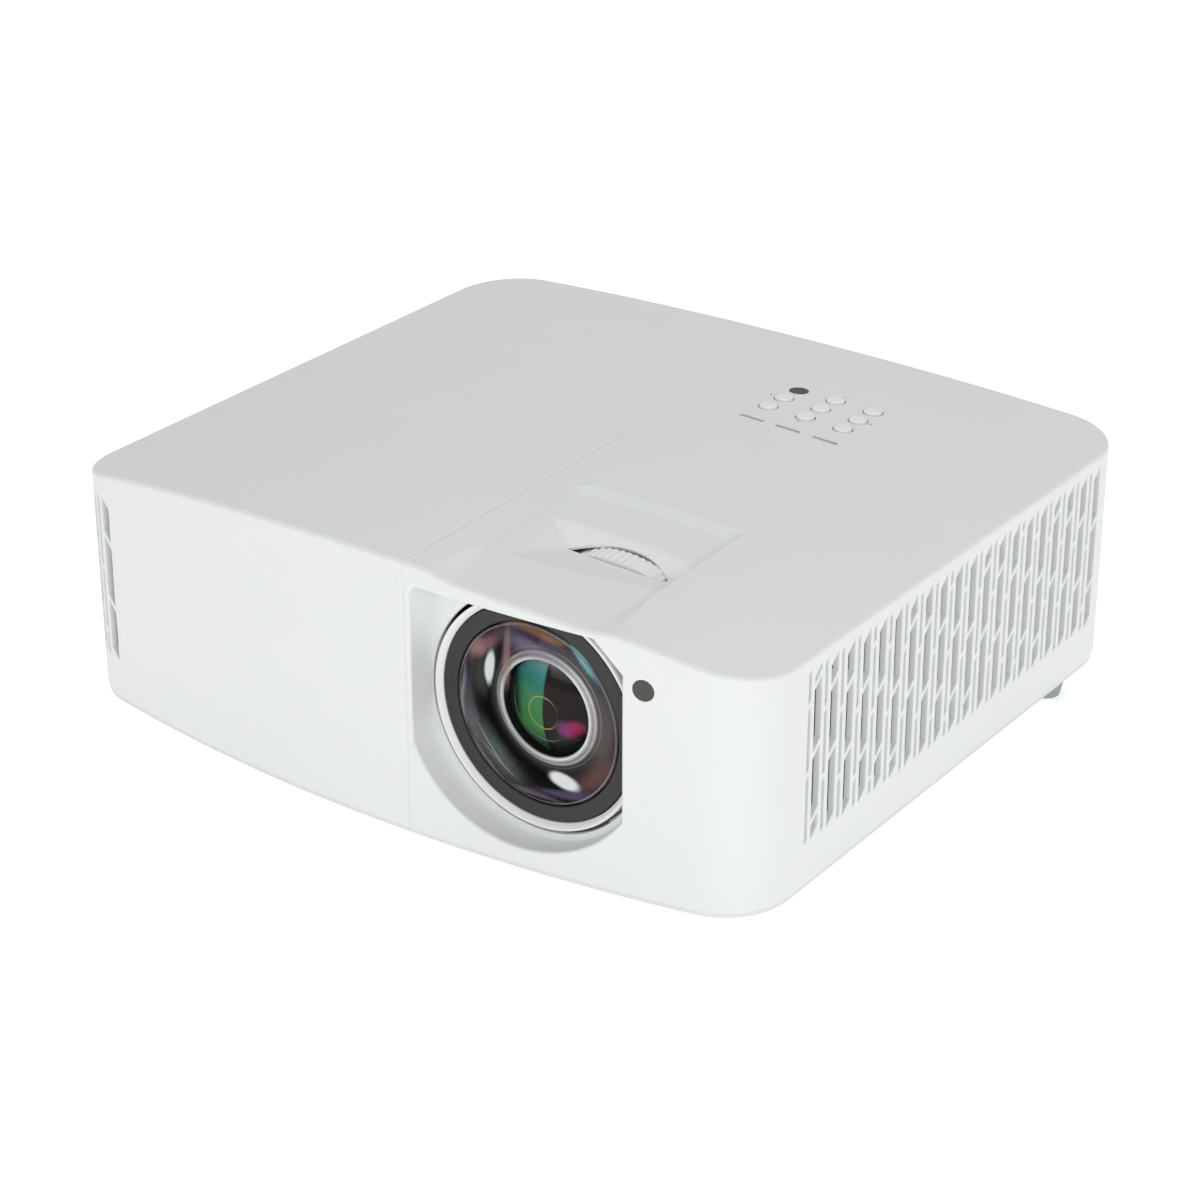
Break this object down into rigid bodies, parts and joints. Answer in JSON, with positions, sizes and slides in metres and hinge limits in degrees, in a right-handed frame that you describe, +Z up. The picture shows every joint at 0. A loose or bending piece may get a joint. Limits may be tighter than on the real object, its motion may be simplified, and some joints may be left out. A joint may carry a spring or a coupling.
{
  "type": "home projector",
  "caption": "Short throw home projector: white crowned case, recessed dome lens with focus wheel in the top, keypad, slotted side vents, adjustable feet and rear sockets.",
  "frame": {"origin": "on the resting plane under the middle of the case's outline", "axes": "+Z up, -Y towards the lens end and the screen, +X to the right as seen by someone facing the lens"},
  "size_m": [0.315, 0.288, 0.118],
  "materials": {
    "case_white": "satin moulded",
    "pan_white": "fine texture",
    "ring_white": "satin moulded",
    "panel_grey": "fine texture",
    "cell_black": "matt anodised look",
    "lens_black": "black anodised",
    "cell_silver": "satin",
    "coated_glass": "polished, coated",
    "quartz": "clear",
    "cast_alloy": "die cast",
    "dichroic": "dichroic coated",
    "motor_steel": "plain",
    "lamp_black": "heat resistant",
    "reflector": "cold mirror",
    "fan_black": "moulded",
    "board_green": "solder mask",
    "board_tan": "paper laminate",
    "socket_metal": "plated",
    "socket_black": "moulded",
    "light_pipe": "translucent",
    "remote_window": "dark translucent",
    "foot_rubber": "matt",
    "brass": "knurled insert",
    "screw_steel": "zinc plated"
  },
  "bodies": {
    "case": {"bottom_cover": "pan_white", "top_cover": "case_white", "lamp_cover": "case_white", "lamp_cover_screw": "screw_steel", "rear_panel": "panel_grey", "socket_plate": "panel_grey", "vent_grille_right": "case_white", "vent_grille_left_front": "case_white", "vent_grille_left_rear": "case_white", "lens_barrel": "lens_black", "rear_glass": "coated_glass", "light_engine_housing": "cast_alloy", "prism": "coated_glass", "integrator_rod": "cast_alloy", "dmd_board": "board_green", "dmd_heatsink": "cast_alloy", "colour_wheel_motor": "motor_steel", "colour_wheel_bracket": "motor_steel", "lamp_housing": "lamp_black", "lamp_reflector": "reflector", "lamp_burner": "quartz", "intake_fan_frame": "fan_black", "exhaust_fan_frames": "fan_black", "power_board": "board_tan", "ballast_board": "board_tan", "main_board": "board_green", "hdmi_ports": "socket_metal", "usb_port": "socket_metal", "serial_port": "socket_metal", "audio_jack": "socket_black", "ac_inlet": "socket_black", "speaker": "fan_black", "keypad_board": "board_green", "indicator_light_pipes": "light_pipe", "remote_window_top": "remote_window", "remote_window_front": "remote_window", "mount_inserts": "brass", "case_screws": "screw_steel", "board_screws": "screw_steel"},
    "focus_ring": {"focus_ring": "ring_white"},
    "front_lens_group": {"front_lens_cell": "cell_black", "front_glass": "coated_glass", "inner_lens_cell": "cell_silver", "inner_glass": "coated_glass"},
    "colour_wheel": {"colour_wheel": "dichroic"},
    "intake_impeller": {"intake_impeller": "fan_black"},
    "exhaust_impeller_front": {"exhaust_impeller_front": "fan_black"},
    "exhaust_impeller_rear": {"exhaust_impeller_rear": "fan_black"},
    "foot_front": {"foot_front": "foot_rubber"},
    "foot_rear_right": {"foot_rear_right": "foot_rubber"},
    "foot_rear_left": {"foot_rear_left": "foot_rubber"},
    "button_power": {"button_power": "case_white"},
    "button_menu": {"button_menu": "case_white"},
    "button_source": {"button_source": "case_white"},
    "button_up": {"button_up": "case_white"},
    "button_down": {"button_down": "case_white"},
    "button_left": {"button_left": "case_white"},
    "button_right": {"button_right": "case_white"},
    "button_enter": {"button_enter": "case_white"}
  },
  "joints": [
    {"name": "focus_turn", "type": "hinge", "parent": "case", "child": "focus_ring", "pos_m": [0.0686, -0.1, 0.0669], "axis": [0, -1, 0], "range_deg": [-40, 40]},
    {"name": "focus_travel", "type": "slide", "parent": "case", "child": "front_lens_group", "axis": [0, -1, 0], "range_m": [-0.0015, 0.0015]},
    {"name": "colour_wheel_spin", "type": "hinge", "parent": "case", "child": "colour_wheel", "pos_m": [-0.0234, 0, 0.069], "axis": [1, 0, 0], "continuous": true},
    {"name": "intake_fan_spin", "type": "hinge", "parent": "case", "child": "intake_impeller", "pos_m": [0.1405, -0.02, 0.053], "axis": [1, 0, 0], "continuous": true},
    {"name": "exhaust_front_spin", "type": "hinge", "parent": "case", "child": "exhaust_impeller_front", "pos_m": [-0.1405, -0.042, 0.053], "axis": [-1, 0, 0], "continuous": true},
    {"name": "exhaust_rear_spin", "type": "hinge", "parent": "case", "child": "exhaust_impeller_rear", "pos_m": [-0.1405, 0.046, 0.053], "axis": [-1, 0, 0], "continuous": true},
    {"name": "press_power", "type": "slide", "parent": "case", "child": "button_power", "axis": [0, 0, -1], "range_m": [0, 0.0006], "stiffness_N_per_m": 300, "springref_m": -0.0006},
    {"name": "press_menu", "type": "slide", "parent": "case", "child": "button_menu", "axis": [0, 0, -1], "range_m": [0, 0.0006], "stiffness_N_per_m": 300, "springref_m": -0.0006},
    {"name": "press_source", "type": "slide", "parent": "case", "child": "button_source", "axis": [0, 0, -1], "range_m": [0, 0.0006], "stiffness_N_per_m": 300, "springref_m": -0.0006},
    {"name": "press_up", "type": "slide", "parent": "case", "child": "button_up", "axis": [0, 0, -1], "range_m": [0, 0.0006], "stiffness_N_per_m": 300, "springref_m": -0.0006},
    {"name": "press_down", "type": "slide", "parent": "case", "child": "button_down", "axis": [0, 0, -1], "range_m": [0, 0.0006], "stiffness_N_per_m": 300, "springref_m": -0.0006},
    {"name": "press_left", "type": "slide", "parent": "case", "child": "button_left", "axis": [0, 0, -1], "range_m": [0, 0.0006], "stiffness_N_per_m": 300, "springref_m": -0.0006},
    {"name": "press_right", "type": "slide", "parent": "case", "child": "button_right", "axis": [0, 0, -1], "range_m": [0, 0.0006], "stiffness_N_per_m": 300, "springref_m": -0.0006},
    {"name": "press_enter", "type": "slide", "parent": "case", "child": "button_enter", "axis": [0, 0, -1], "range_m": [0, 0.0006], "stiffness_N_per_m": 300, "springref_m": -0.0006},
    {"name": "foot_front_extend", "type": "slide", "parent": "case", "child": "foot_front", "axis": [0, 0, -1], "range_m": [0, 0.008]},
    {"name": "foot_rear_right_extend", "type": "slide", "parent": "case", "child": "foot_rear_right", "axis": [0, 0, -1], "range_m": [0, 0.008]},
    {"name": "foot_rear_left_extend", "type": "slide", "parent": "case", "child": "foot_rear_left", "axis": [0, 0, -1], "range_m": [0, 0.008]}
  ],
  "couplings": [
    {"joint": "focus_travel", "follows": "focus_turn", "m_per_rad": 0.0021486}
  ]
}
